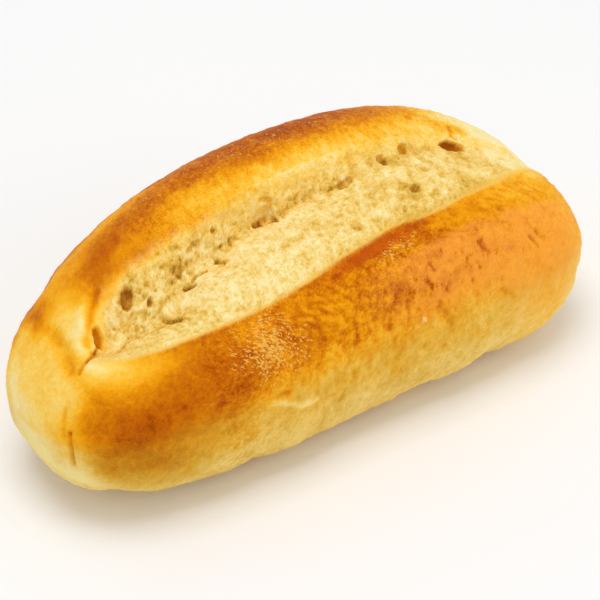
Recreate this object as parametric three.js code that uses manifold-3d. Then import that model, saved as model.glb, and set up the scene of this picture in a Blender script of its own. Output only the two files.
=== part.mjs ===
// A long soft milk bun with one cut along its top that has opened in baking.
// Millimetres, +Z up. X runs along the bun, the low lip of the cut faces -Y,
// and the bun rests on its flat base at Z = 0.

import * as THREE from 'three';
import { mergeVertices } from 'three/addons/utils/BufferGeometryUtils.js';
import Module from 'manifold-3d';

// Whole loaf
const length = 150;
const waistHeight = 23.7; // height of the widest line round the loaf
const crownHeight = 33.2; // from the widest line up to the crown
const frontHalfWidth = 36.5;
const backHalfWidth = 35.3;
const sideRoundness = 2.3; // section above the waist, 2 is an ellipse
const baseRoundness = 3.6; // section below the waist
const baseDepth = 1.06; // the underside sags this far past the table, which flattens it
const crownRise = 0.087; // the crown climbs towards the right end
const backRise = 0.16; // and the back bulges out towards it
const crownTilt = 0.042; // the back of the crown stands a little higher
const endReach = 0.6; // within this share of the half length the ends do not differ
const spineBend = { bow: -7.33, rest: 0.33, twist: -1.65, shift: -1.83 };

// How blunt each end is: plan at the front and back, crown and underside
const leftEnd = { front: 2.98, back: 2.19, crown: 2.04, foot: 2.92 };
const rightEnd = { front: 3.2, back: 3.23, crown: 2.03, foot: 3.51 };

// The cut: shares of the half width at which its lip and rim run,
// each as a polynomial of u, the share of the half length
const lipLine = [-0.675, 0.219, 0.406, -0.217];
const rimLine = [0.037, 0.067, 0.069, -0.1];

// Where the crumb tore, as [u, share of the way from the lip to the rim]
const tearPath = [
  [-1, 0.08], [-0.77, 0.25], [-0.65, 0.37], [-0.54, 0.38],
  [-0.42, 0.58], [-0.38, 0.66], [-0.29, 0.685], [-0.245, 0.73],
  [-0.216, 0.82], [-0.145, 0.79], [-0.118, 0.85], [-0.07, 0.84],
  [-0.054, 0.755], [0.03, 0.81], [0.165, 0.745], [1, 0.75],
];
const cutLeft = { lip: -0.81, slant: 0.15, soft: 0.06 };
const cutRight = { end: 0.86, soft: 0.08 };

// How far each line lies below the uncut crown; the tear is sharp at the left and soft at the right
const lipDrop = 3.9;
const rimDrop = 1;
const tearDrop = { left: 10, right: 5, from: -0.3, to: 0.5 };
const tearSoftness = { left: 0.4, right: 5, from: 0, to: 0.35 };
const slabReach = 1.6; // the slab's slope runs on this far under the wall
const edgeRounding = 8;
const dropFade = 12; // the cut dies out over this height above the waist

// Soft unevenness: the torn crumb wall, the smoother crumb slab, and the wrinkled band near the base
const wallLumps = { height: 0.9, size: 5 };
const slabLumps = { height: 0.35, size: 8 };
const crustLumps = { height: 0.3, size: 17 };
const baseLumps = { height: 0.9, size: 9, middle: 0.75, spread: 0.4, clearOfTable: 3 };
const reliefFade = 0.04; // all relief dies out over this share of the half length at the tips

// Creases in the crust, and ridges where the depth is negative, as lines of [u, v] points
const folds = [
  { path: [[-0.846, 3.82], [-0.85, 3.49], [-0.865, 1.98]], depth: 0.9, halfWidth: 1.8 },
  { path: [[-0.907, 1.66], [-0.931, 1.29], [-0.94, 0.92]], depth: 0.8, halfWidth: 1.5 },
  { path: [[-0.85, 1.95], [-0.81, 2.4], [-0.775, 3.1]], depth: 0.8, halfWidth: 1.6 },
  { path: [[-0.345, 1.06], [-0.3, 1], [-0.18, 0.985]], depth: -0.5, halfWidth: 1.6 },
];

// Small swellings (+) and dents (-) in the crust
const swellings = [
  { u: -0.795, v: 2.03, radius: 3.4, height: 1.3 },
  { u: -0.78, v: 3.6, radius: 5, height: 0.8 },
  { u: -0.088, v: 3.1, radius: 2, height: -1.3 },
  { u: 0.484, v: 1.54, radius: 2.2, height: -0.5 },
  { u: 0.7, v: 1.41, radius: 2.4, height: -0.6 },
  { u: 0.283, v: 1.55, radius: 1.8, height: -0.4 },
  { u: -0.688, v: 0.8, radius: 3, height: -0.8 },
  { u: -0.389, v: 0.65, radius: 3.2, height: -0.8 },
  { u: 0.053, v: 0.73, radius: 3, height: -0.7 },
  { u: 0.336, v: 0.99, radius: 5, height: 0.6 },
  { u: 0.92, v: 3.6, radius: 4.5, height: -1.9 },
  { u: 0.52, v: 0.63, radius: 4.5, height: -1.3 },
  { u: 0.36, v: 0.62, radius: 3, height: -0.7 },
  { u: 0.24, v: 0.6, radius: 3.5, height: -1 },
  { u: -0.19, v: 0.62, radius: 3.5, height: -0.6 },
  { u: -0.8, v: 0.55, radius: 3.5, height: -0.8 },
  { u: -0.765, v: 4.59, radius: 4, height: -1 },
];

// Open pores and torn slits: half sizes, depth, and turn in degrees from the bun's length
const pores = [
  { u: -0.612, v: 3.64, long: 2.95, wide: 1.35, depth: 2.4, turn: 57 },
  { u: -0.745, v: 3.29, long: 2.67, wide: 1.22, depth: 2.1, turn: -85 },
  { u: 0.642, v: 3.43, long: 3.75, wide: 1.55, depth: 2.3, turn: -11 },
  { u: 0.445, v: 3.555, long: 1.63, wide: 1.24, depth: 1.4, turn: 54 },
  { u: 0.352, v: 3.31, long: 1.68, wide: 1.12, depth: 1.3, turn: -63 },
  { u: 0.203, v: 3.1, long: 2.78, wide: 1.04, depth: 1.1, turn: 11 },
  { u: 0.375, v: 2.26, long: 1.7, wide: 1.4, depth: 1.2, turn: 28 },
  { u: 0.123, v: 2.2, long: 1.4, wide: 0.88, depth: 0.9, turn: -31 },
  { u: 0.24, v: 2.46, long: 1.71, wide: 0.96, depth: 0.9, turn: 56 },
  { u: -0.558, v: 3.5, long: 1.36, wide: 0.69, depth: 1, turn: 58 },
  { u: -0.415, v: 3.02, long: 1.6, wide: 0.7, depth: 1.7, turn: -20 },
  { u: -0.224, v: 3.1, long: 1.7, wide: 0.7, depth: 1.5, turn: 50 },
  { u: -0.1, v: 3.1, long: 2.6, wide: 0.8, depth: 1.5, turn: 5 },
  { u: -0.52, v: 2.75, long: 2.6, wide: 0.7, depth: 1.2, turn: -20 },
];

// Steps of the grid: u goes from the left end (-1) to the right end (1), and v once round
// the section: 1 at the front waist, 2 the lip, 3 the tear, 4 the rim and 5 the back waist
const rings = 72;
const zones = [
  { name: 'frontFoot', steps: 7 },
  { name: 'frontSide', steps: 14 },
  { name: 'crumbSlab', steps: 11 },
  { name: 'crumbWall', steps: 11 },
  { name: 'backSide', steps: 14 },
  { name: 'backFoot', steps: 7 },
];
const lipV = 2;
const tearV = 3;
const rimV = 4;
const tearCrowding = 1.5; // the grid is finer towards the tear line
const probe = 0.004; // step in u and v with which slopes are measured
const poreSides = 12;
const poreRings = 8;
const leastWidth = 0.1; // keeps a division by the cut's width safe at the tips

// Mixes the corners of a lattice into numbers that look random and never change
const cornerMix = new THREE.Vector3(127.1, 311.7, 74.7);
const cornerScale = 43758.5453;

const clamp = THREE.MathUtils.clamp;
const ease = (from, to, x) => THREE.MathUtils.smoothstep(x, from, to);
const mix = THREE.MathUtils.lerp;
const bell = (distance, halfWidth) => Math.exp(-((distance / halfWidth) ** 2));
const signedPower = (x, power) => Math.sign(x) * Math.abs(x) ** power;
const polynomial = (factors, u) => factors.reduce((sum, factor, power) => sum + factor * u ** power, 0);

function alongPath(path, u) {
  const inside = clamp(u, path[0][0], path.at(-1)[0]);
  const next = Math.max(1, path.findIndex(([place]) => place >= inside));
  const [fromU, from] = path[next - 1];
  const [toU, to] = path[next];
  return mix(from, to, (inside - fromU) / (toU - fromU));
}

function taper(u, bluntness) {
  return Math.max(0, 1 - Math.abs(u) ** bluntness) ** (1 / bluntness);
}

function endTaper(u, name) {
  return taper(u, mix(leftEnd[name], rightEnd[name], ease(-endReach, endReach, u)));
}

function roundSection(angle, roundness) {
  return [signedPower(Math.cos(angle), 2 / roundness), signedPower(Math.sin(angle), 2 / roundness)];
}

function angleAt(share) {
  return Math.acos(signedPower(share, sideRoundness / 2));
}

// The sizes of the section at u
function sectionAt(u) {
  const section = {
    front: frontHalfWidth * endTaper(u, 'front'),
    back: backHalfWidth * endTaper(u, 'back') * (1 + backRise * u),
    crown: crownHeight * endTaper(u, 'crown') * (1 + crownRise * u),
    foot: waistHeight * baseDepth * endTaper(u, 'foot'),
    lip: polynomial(lipLine, u),
    rim: polynomial(rimLine, u),
    tear: alongPath(tearPath, u),
  };
  section.lipY = placeAcross(section, section.lip);
  section.rimY = placeAcross(section, section.rim);
  section.tearY = mix(section.lipY, section.rimY, section.tear);
  return section;
}

function placeAcross(section, share) {
  return share * (share < 0 ? section.front : section.back);
}

function zoneAt(v) {
  const index = clamp(Math.floor(v), 0, zones.length - 1);
  return { name: zones[index].name, t: v - index };
}

// A point on the uncut section, relative to the spine and the waist
function uncutPoint(section, v) {
  const { name, t } = zoneAt(v);
  if (name === 'frontFoot' || name === 'backFoot') {
    const isFront = name === 'frontFoot';
    const [y, z] = roundSection(-Math.PI / 2 * (isFront ? 1 - t : t), baseRoundness);
    return [placeAcross(section, isFront ? -y : y), z * section.foot];
  }
  let share;
  let rise;
  if (name === 'frontSide') {
    [share, rise] = roundSection(mix(Math.PI, angleAt(section.lip), t), sideRoundness);
  } else if (name === 'backSide') {
    [share, rise] = roundSection(angleAt(section.rim) * (1 - t), sideRoundness);
  } else {
    const fromLip = name === 'crumbSlab'
      ? section.tear * (1 - (1 - t) ** tearCrowding)
      : mix(section.tear, 1, t ** tearCrowding);
    share = mix(section.lip, section.rim, fromLip);
    rise = (1 - Math.abs(share) ** sideRoundness) ** (1 / sideRoundness);
  }
  return [placeAcross(section, share), rise * section.crown * (1 + crownTilt * share)];
}

// Inside the cut the slab slopes down to the tear and the wall up to the rim, joined more or less softly
function dropInCut(section, u, y) {
  const slab = Math.max(section.tearY - section.lipY, leastWidth);
  const wall = Math.max(section.rimY - section.tearY, leastWidth);
  const deepest = mix(tearDrop.left, tearDrop.right, ease(tearDrop.from, tearDrop.to, u));
  const onSlab = mix(lipDrop, deepest, Math.min((y - section.lipY) / slab, slabReach));
  const onWall = mix(deepest, rimDrop, ease(0, 1, (y - section.tearY) / wall));
  const soft = mix(tearSoftness.left, tearSoftness.right, ease(tearSoftness.from, tearSoftness.to, u));
  const nearer = clamp((1 + (onWall - onSlab) / soft) / 2, 0, 1);
  return mix(onWall, onSlab, nearer) - soft * nearer * (1 - nearer);
}

// How far the open cut lies below the uncut section
function cutDrop(section, u, y, height) {
  let drop = dropInCut(section, u, y);
  if (y < section.lipY) drop = lipDrop * bell(section.lipY - y, edgeRounding);
  if (y > section.rimY) drop = rimDrop * bell(y - section.rimY, edgeRounding);
  const fromLip = clamp((y - section.lipY) / Math.max(section.rimY - section.lipY, leastWidth), 0, 1);
  return drop * cutOpenness(u, fromLip) * section.crown / crownHeight * ease(0, dropFade, height);
}

// 1 where the cut is open, 0 beyond its ends, the left of which is slanted
function cutOpenness(u, fromLip) {
  const start = cutLeft.lip + cutLeft.slant * fromLip;
  const openLeft = ease(start - cutLeft.soft, start + cutLeft.soft, u);
  const openRight = 1 - ease(cutRight.end - cutRight.soft, cutRight.end + cutRight.soft, u);
  return openLeft * openRight;
}

// A point of the smooth skin, before folds, lumps and pores
function skin(u, v) {
  const section = sectionAt(u);
  const [y, height] = uncutPoint(section, v);
  const z = waistHeight + height - cutDrop(section, u, y, height);
  const spine = spineBend.bow * (u ** 2 - spineBend.rest) + spineBend.twist * u ** 3 + spineBend.shift;
  return new THREE.Vector3(length / 2 * u, y + spine, Math.max(z, 0));
}

// Axes of the skin at u and v: along the bun, across it, and outward
function skinAxes(u, v) {
  const along = skin(u + probe, v).sub(skin(u - probe, v)).normalize();
  const across = skin(u, v + probe).sub(skin(u, v - probe));
  const outward = along.clone().cross(across).normalize();
  across.crossVectors(outward, along).normalize();
  return { along, across, outward };
}

function distanceToPath(point, path) {
  const nearest = new THREE.Vector3();
  const gaps = path.slice(1).map(([u, v], i) => {
    const stretch = new THREE.Line3(skin(...path[i]), skin(u, v));
    return stretch.closestPointToPoint(point, true, nearest).distanceTo(point);
  });
  return Math.min(...gaps);
}

// A fixed number between -1 and 1 for each corner of the lattice
function cornerValue(x, y, z) {
  const mixed = Math.sin(cornerMix.x * x + cornerMix.y * y + cornerMix.z * z) * cornerScale;
  return 2 * (mixed - Math.floor(mixed)) - 1;
}

// Smooth lumps of a given size, between -1 and 1
function lumps(point, size) {
  const at = point.clone().divideScalar(size);
  const cell = at.clone().floor();
  const [fx, fy, fz] = at.sub(cell).toArray().map((part) => ease(0, 1, part));
  const corner = (x, y, z) => cornerValue(cell.x + x, cell.y + y, cell.z + z);
  const edge = (y, z) => mix(corner(0, y, z), corner(1, y, z), fx);
  return mix(mix(edge(0, 0), edge(1, 0), fy), mix(edge(0, 1), edge(1, 1), fy), fz);
}

// Height of the relief over the smooth skin
function relief(point, u, v) {
  let height = crustLumps.height * lumps(point, crustLumps.size);
  folds.forEach((fold) => {
    height -= fold.depth * bell(distanceToPath(point, fold.path), fold.halfWidth);
  });
  swellings.forEach((swelling) => {
    const away = skin(swelling.u, swelling.v).distanceTo(point);
    height += swelling.height * bell(away, swelling.radius);
  });
  if (v > lipV && v < rimV) {
    const awayFromEdges = Math.abs(Math.sin(Math.PI * v)) * cutOpenness(u, 1 / 2);
    const kind = v < tearV ? slabLumps : wallLumps;
    height += kind.height * awayFromEdges * lumps(point, kind.size);
  }
  const fromBase = Math.min(v, zones.length - v);
  const clear = ease(0, baseLumps.clearOfTable, point.z);
  height += baseLumps.height * clear * bell(fromBase - baseLumps.middle, baseLumps.spread)
    * lumps(point, baseLumps.size);
  return height * ease(0, reliefFade, 1 - Math.abs(u));
}

function skinWithRelief(u, v) {
  const point = skin(u, v);
  if (point.z === 0) return point;
  const { outward } = skinAxes(u, v);
  const raised = point.clone().addScaledVector(outward, relief(point, u, v));
  raised.z = Math.max(raised.z, 0);
  return raised;
}

// The loaf: one closed grid with a point at each end
function loafGeometry() {
  const vPlaces = zones.flatMap(({ steps }, zone) => (
    Array.from({ length: steps }, (_, i) => zone + i / steps)
  ));
  const around = vPlaces.length;
  const positions = [];
  const triangles = [];
  for (let i = 1; i < rings; i++) {
    const u = -Math.cos(Math.PI * i / rings);
    vPlaces.forEach((v) => positions.push(...skinWithRelief(u, v).toArray()));
  }
  const leftTip = positions.length / 3;
  positions.push(...skin(-1, 0).toArray(), ...skin(1, 0).toArray());
  const rightTip = leftTip + 1;
  const ringStart = (ring) => ring * around;
  for (let j = 0; j < around; j++) {
    const next = (j + 1) % around;
    triangles.push(leftTip, j, next);
    for (let ring = 0; ring < rings - 2; ring++) {
      const a = ringStart(ring) + j;
      const b = ringStart(ring) + next;
      const c = ringStart(ring + 1) + j;
      const d = ringStart(ring + 1) + next;
      triangles.push(a, c, b, b, c, d);
    }
    triangles.push(rightTip, ringStart(rings - 2) + next, ringStart(rings - 2) + j);
  }
  const geometry = new THREE.BufferGeometry();
  geometry.setAttribute('position', new THREE.Float32BufferAttribute(positions, 3));
  geometry.setIndex(triangles);
  return geometry;
}

// A pore is an ellipsoid whose middle lies on the skin
function poreGeometry({ u, v, long, wide, depth, turn }) {
  const geometry = new THREE.SphereGeometry(1, poreSides, poreRings);
  geometry.scale(long, wide, depth);
  geometry.rotateZ(THREE.MathUtils.degToRad(turn));
  const axes = skinAxes(u, v);
  geometry.applyMatrix4(new THREE.Matrix4().makeBasis(axes.along, axes.across, axes.outward));
  const middle = skin(u, v);
  geometry.translate(middle.x, middle.y, middle.z);
  return geometry;
}

const wasm = await Module();
wasm.setup();

function toSolid(geometry) {
  geometry.deleteAttribute('normal');
  geometry.deleteAttribute('uv');
  const merged = mergeVertices(geometry);
  const vertProperties = new Float32Array(merged.getAttribute('position').array);
  const triVerts = new Uint32Array(merged.getIndex().array);
  return new wasm.Manifold(new wasm.Mesh({ numProp: 3, vertProperties, triVerts }));
}

function toGeometry(solid) {
  const mesh = solid.getMesh();
  const geometry = new THREE.BufferGeometry();
  geometry.setAttribute('position', new THREE.BufferAttribute(mesh.vertProperties, 3));
  geometry.setIndex(new THREE.BufferAttribute(mesh.triVerts, 1));
  geometry.computeVertexNormals();
  return geometry;
}

const loaf = toSolid(loafGeometry());
const cutLoaf = pores.reduce((solid, pore) => solid.subtract(toSolid(poreGeometry(pore))), loaf);

const crust = new THREE.MeshStandardMaterial({ color: '#dd9640', roughness: 0.5, metalness: 0 });
const bun = new THREE.Mesh(toGeometry(cutLoaf), crust);
bun.name = 'bun';

const part = new THREE.Group();
part.add(bun);

export default part;
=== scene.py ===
import math

import bpy
import numpy as np
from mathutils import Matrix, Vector, noise


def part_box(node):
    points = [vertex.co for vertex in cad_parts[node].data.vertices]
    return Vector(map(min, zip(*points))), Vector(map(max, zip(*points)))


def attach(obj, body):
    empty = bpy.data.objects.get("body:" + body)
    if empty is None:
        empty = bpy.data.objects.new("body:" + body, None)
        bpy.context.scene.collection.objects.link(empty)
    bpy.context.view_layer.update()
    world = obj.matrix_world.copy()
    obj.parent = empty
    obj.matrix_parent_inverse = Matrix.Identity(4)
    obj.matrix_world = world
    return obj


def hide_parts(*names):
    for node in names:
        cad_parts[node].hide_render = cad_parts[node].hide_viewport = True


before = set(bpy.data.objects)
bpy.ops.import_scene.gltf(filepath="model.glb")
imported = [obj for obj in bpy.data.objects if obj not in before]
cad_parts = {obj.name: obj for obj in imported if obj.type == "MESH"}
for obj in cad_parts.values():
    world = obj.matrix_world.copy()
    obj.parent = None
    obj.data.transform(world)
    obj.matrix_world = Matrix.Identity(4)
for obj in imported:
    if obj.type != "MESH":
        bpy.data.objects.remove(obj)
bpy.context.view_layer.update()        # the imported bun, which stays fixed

print("frame loaded")

mm = 0.001
bunLow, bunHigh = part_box("bun")

# The whole loaf, in millimetres and shares, with the same named sizes as the solid
loaf = {
    "length": (bunHigh.x - bunLow.x) / mm,
    "waistHeight": 23.7,
    "crownHeight": 33.2,
    "frontHalfWidth": 36.5,
    "backHalfWidth": 35.3,
    "sideRoundness": 2.3,
    "baseRoundness": 3.6,
    "baseDepth": 1.06,
    "crownRise": 0.087,
    "backRise": 0.16,
    "crownTilt": 0.042,
    "endReach": 0.6,
    "bow": -7.33,
    "bowRest": 0.33,
    "twist": -1.65,
    "shift": -1.83,
    "leftEnd": {"front": 2.98, "back": 2.19, "crown": 2.04, "foot": 2.92},
    "rightEnd": {"front": 3.2, "back": 3.23, "crown": 2.03, "foot": 3.51},
}

# The open cut: its lines are polynomials of u, drops are in millimetres. Two pairs, here and below, are two
# values and the span over which the first turns into the second
cut = {
    "lipLine": (-0.675, 0.219, 0.406, -0.217),
    "rimLine": (0.037, 0.067, 0.069, -0.1),
    "tearPath": (
        (-1.0, 0.08), (-0.77, 0.25), (-0.65, 0.37), (-0.54, 0.38), (-0.42, 0.58), (-0.38, 0.66),
        (-0.29, 0.685), (-0.245, 0.73), (-0.216, 0.82), (-0.145, 0.79), (-0.118, 0.85), (-0.07, 0.84),
        (-0.054, 0.755), (0.03, 0.81), (0.165, 0.745), (1.0, 0.75),
    ),
    "leftStart": -0.81,
    "leftSlant": 0.15,
    "leftSoft": 0.06,
    "rightEnd": 0.86,
    "rightSoft": 0.08,
    "lipDrop": 3.9,
    "rimDrop": 1.0,
    "tearDrop": ((10.0, 5.0), (-0.3, 0.5)),
    "tearSoft": ((0.4, 5.0), (0.0, 0.35)),
    "slabReach": 1.6,
    "leastWidth": 0.1,
    "edgeRounding": 8.0,
    "dropFade": 12.0,
}

# Steps of the skin: along the bun, and round the section in its six zones
grid = {
    "rings": 402,
    "tipCrowding": 0.5,
    "zones": (36, 66, 48, 40, 42, 14),
    "baseCrowding": 0.6,
    "waistCrowding": 1.8,
    "tearCrowding": 1.5,
}


def ease(start, end, x):
    t = np.clip((x - start) / (end - start), 0, 1)
    return t * t * (3 - 2 * t)


def mix(a, b, t):
    return a + (b - a) * t


def slide(values, span, x):
    return mix(*values, ease(*span, x))


def bell(distance, width):
    return np.exp(-(distance / width) ** 2)


def signedPower(x, power):
    return np.sign(x) * np.abs(x) ** power


def polynomial(factors, u):
    return sum(factor * u ** power for power, factor in enumerate(factors))


def taper(u, bluntness):
    return np.maximum(0, 1 - np.abs(u) ** bluntness) ** (1 / bluntness)


def endTaper(u, name):
    reach = loaf["endReach"]
    return taper(u, mix(loaf["leftEnd"][name], loaf["rightEnd"][name], ease(-reach, reach, u)))


def spineAt(u):
    return loaf["bow"] * (u ** 2 - loaf["bowRest"]) + loaf["twist"] * u ** 3 + loaf["shift"]


def roundSection(angle, roundness):
    return signedPower(np.cos(angle), 2 / roundness), signedPower(np.sin(angle), 2 / roundness)


def angleAt(share):
    return np.arccos(signedPower(share, loaf["sideRoundness"] / 2))


def placeAcross(section, share):
    return share * np.where(share < 0, section["front"], section["back"])


def sectionAt(u):
    section = {
        "front": loaf["frontHalfWidth"] * endTaper(u, "front"),
        "back": loaf["backHalfWidth"] * endTaper(u, "back") * (1 + loaf["backRise"] * u),
        "crown": loaf["crownHeight"] * endTaper(u, "crown") * (1 + loaf["crownRise"] * u),
        "foot": loaf["waistHeight"] * loaf["baseDepth"] * endTaper(u, "foot"),
        "lip": polynomial(cut["lipLine"], u),
        "rim": polynomial(cut["rimLine"], u),
        "tear": np.interp(u, *zip(*cut["tearPath"])),
    }
    section["lipY"] = placeAcross(section, section["lip"])
    section["rimY"] = placeAcross(section, section["rim"])
    section["tearY"] = mix(section["lipY"], section["rimY"], section["tear"])
    return section


def cutOpenness(u, fromLip):
    start = cut["leftStart"] + cut["leftSlant"] * fromLip
    openLeft = ease(start - cut["leftSoft"], start + cut["leftSoft"], u)
    return openLeft * (1 - ease(cut["rightEnd"] - cut["rightSoft"], cut["rightEnd"] + cut["rightSoft"], u))


# How far the open cut lies under the round section: a slab that slopes down to the tear, then a steep wall
def cutDrop(section, u, y, height):
    slab = np.maximum(section["tearY"] - section["lipY"], cut["leastWidth"])
    wall = np.maximum(section["rimY"] - section["tearY"], cut["leastWidth"])
    deepest = slide(*cut["tearDrop"], u)
    onSlab = mix(cut["lipDrop"], deepest, np.clip((y - section["lipY"]) / slab, 0, cut["slabReach"]))
    onWall = mix(deepest, cut["rimDrop"], ease(0, 1, (y - section["tearY"]) / wall))
    soft = slide(*cut["tearSoft"], u)
    nearer = np.clip(0.5 + 0.5 * (onWall - onSlab) / soft, 0, 1)
    inCut = mix(onWall, onSlab, nearer) - soft * nearer * (1 - nearer)
    beforeLip = cut["lipDrop"] * bell(section["lipY"] - y, cut["edgeRounding"])
    behindRim = cut["rimDrop"] * bell(y - section["rimY"], cut["edgeRounding"])
    drop = np.where(y < section["lipY"], beforeLip, np.where(y < section["rimY"], inCut, behindRim))
    opened = cutOpenness(u, np.clip((y - section["lipY"]) / (slab + wall), 0, 1))
    return drop * opened * section["crown"] / loaf["crownHeight"] * ease(0, cut["dropFade"], height)


# u is -1 at the left tip and 1 at the right, and v runs round the section:
# 0 under the middle, 1 front waist, 2 lip, 3 tear, 4 rim, 5 back waist, 6 under again
def smoothSkin(u, v):
    u, v = np.broadcast_arrays(np.asarray(u, float), np.asarray(v, float))
    section = sectionAt(u)
    zone = np.minimum(np.floor(v), 5)
    t = v - zone
    foot = (zone == 0) | (zone == 5)
    crumb = (zone == 2) | (zone == 3)
    footY, footRise = roundSection(-math.pi / 2 * np.where(zone == 0, 1 - t, t), loaf["baseRoundness"])
    sideAngle = np.where(zone == 1, mix(math.pi, angleAt(section["lip"]), t), angleAt(section["rim"]) * (1 - t))
    sideY, sideRise = roundSection(sideAngle, loaf["sideRoundness"])
    onSlab = section["tear"] * (1 - (1 - t) ** grid["tearCrowding"])
    onWall = mix(section["tear"], 1, t ** grid["tearCrowding"])
    crumbY = mix(section["lip"], section["rim"], np.where(zone == 2, onSlab, onWall))
    crumbRise = (1 - np.abs(crumbY) ** loaf["sideRoundness"]) ** (1 / loaf["sideRoundness"])
    share = np.where(foot, np.where(zone == 0, -footY, footY), np.where(crumb, crumbY, sideY))
    y = placeAcross(section, share)
    rise = np.where(crumb, crumbRise, sideRise) * section["crown"] * (1 + loaf["crownTilt"] * share)
    height = np.where(foot, footRise * section["foot"], rise)
    z = np.maximum(loaf["waistHeight"] + height - cutDrop(section, u, y, height), 0)
    return np.stack([loaf["length"] / 2 * u, y + spineAt(u), z], -1)


# Directions of the skin at one place: along the bun, across it and outward
def skinAxes(u, v, step=0.004):
    along = smoothSkin(u + step, v) - smoothSkin(u - step, v)
    along /= np.linalg.norm(along)
    across = smoothSkin(u, v + step) - smoothSkin(u, v - step)
    outward = np.cross(along, across)
    outward /= np.linalg.norm(outward)
    return along, np.cross(outward, along), outward


# The grid of the skin with its normals
t = np.linspace(0, 1, grid["rings"] + 1)[1:-1]
ringU = mix(2 * t - 1, -np.cos(math.pi * t), grid["tipCrowding"])[:, None]
columns = [zone + np.arange(steps) / steps for zone, steps in enumerate(grid["zones"])]
columns[0] = 1 - (1 - columns[0] ** grid["baseCrowding"]) ** grid["waistCrowding"]
columns[5] = 5 + (1 - (6 - columns[5]) ** grid["baseCrowding"]) ** grid["waistCrowding"]
columnV = np.concatenate(columns)[None, :]
skin = smoothSkin(ringU, columnV)
alongStep = np.gradient(skin, axis=0)
acrossStep = (np.roll(skin, -1, axis=1) - np.roll(skin, 1, axis=1)) / 2
normals = np.cross(alongStep, acrossStep)
normals /= np.maximum(np.linalg.norm(normals, axis=-1, keepdims=True), 1e-9)
print("skin laid out:", ringU.shape[0], "rings of", columnV.shape[1])

# Where each point of the grid lies: shares, and millimetres past the lip, the tear and before the rim
flatU = np.broadcast_to(ringU, skin.shape[:2])
flatV = np.broadcast_to(columnV, skin.shape[:2])
fromBase = np.minimum(flatV, 6 - flatV)
sections = sectionAt(ringU)
fromSpine = skin[..., 1] - spineAt(ringU)
upper = (flatV > 1) & (flatV < 5)
offCrown = -99        # stands for any place below the waist
pastLip = np.where(upper, fromSpine - sections["lipY"], offCrown)
beforeRim = np.where(upper, sections["rimY"] - fromSpine, offCrown)
fromTear = fromSpine - sections["tearY"]
cutWidth = np.maximum(sections["rimY"] - sections["lipY"], cut["leastWidth"])
openness = cutOpenness(flatU, np.clip(pastLip / cutWidth, 0, 1))


# Smooth noise over the skin, between about -1 and 1; a stretch above 1 draws it out along x, y or z
def grain(size, octaves=1, shift=0.0, stretch=(1, 1, 1), turn=0.0):
    cosine, sine = math.cos(math.radians(turn)), math.sin(math.radians(turn))
    x, y, z = skin[..., 0], skin[..., 1], skin[..., 2]
    turned = np.stack([x * cosine + y * sine, y * cosine - x * sine, z], -1)
    places = turned.reshape(-1, 3) / (size * np.array(stretch)) + shift
    values = [noise.fractal(place, 1.0, 2.0, octaves) for place in places.tolist()]
    return np.array(values).reshape(skin.shape[:2])


# Round hollows of uneven size packed side by side, 1 at their bottoms and 0 between them
def cells(size, widest, shift, stretch=(1, 1, 1)):
    warped = skin + np.stack([grain(size * 0.8, 2, shift + k) for k in (1, 2, 3)], -1) * size * 0.35
    places = warped.reshape(-1, 3) / (size * np.array(stretch)) + shift
    depths = []
    for place in places.tolist():
        distances, middles = noise.voronoi(place)
        own = math.sin(middles[0].x * 12.9 + middles[0].y * 78.2 + middles[0].z * 37.7) * 4375.8
        radius = widest * (0.35 + 0.65 * (own - math.floor(own)))
        depths.append(max(0.0, 1 - (distances[0] / radius) ** 2))
    return np.array(depths).reshape(skin.shape[:2])


# The same lumps as the solid has, from a lattice of fixed numbers
def lumps(size):
    at = skin / size
    cell = np.floor(at)
    part = ease(0, 1, at - cell)

    def corner(dx, dy, dz):
        x, y, z = cell[..., 0] + dx, cell[..., 1] + dy, cell[..., 2] + dz
        mixed = np.sin(x * 127.1 + y * 311.7 + z * 74.7) * 43758.5453
        return 2 * (mixed - np.floor(mixed)) - 1

    def edge(dy, dz):
        return mix(corner(0, dy, dz), corner(1, dy, dz), part[..., 0])

    return mix(mix(edge(0, 0), edge(1, 0), part[..., 1]), mix(edge(0, 1), edge(1, 1), part[..., 1]), part[..., 2])


# One layer of relief or tone, from its entry in a dictionary
def lumpLayer(layer):
    return layer["height"] * lumps(layer["size"])


def grainLayer(layer, octaves, shift, stretch=(1, 1, 1), turn=0.0):
    return layer["height"] * grain(layer["size"], octaves, shift, stretch, turn)


# A soft oval spot: its middle, and its reach along and round the bun
def spot(u, v, alongU, acrossV):
    return bell(flatU - u, alongU) * bell(flatV - v, acrossV)


def distanceTo(u, v):
    return np.linalg.norm(skin - smoothSkin(u, v), axis=-1)


def distanceToPath(path):
    nearest = np.full(skin.shape[:2], 1e9)
    for (u0, v0), (u1, v1) in zip(path, path[1:]):
        start, end = smoothSkin(u0, v0), smoothSkin(u1, v1)
        along = end - start
        share = np.clip((skin - start) @ along / (along @ along), 0, 1)
        nearest = np.minimum(nearest, np.linalg.norm(skin - start - share[..., None] * along, axis=-1))
    return nearest


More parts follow.
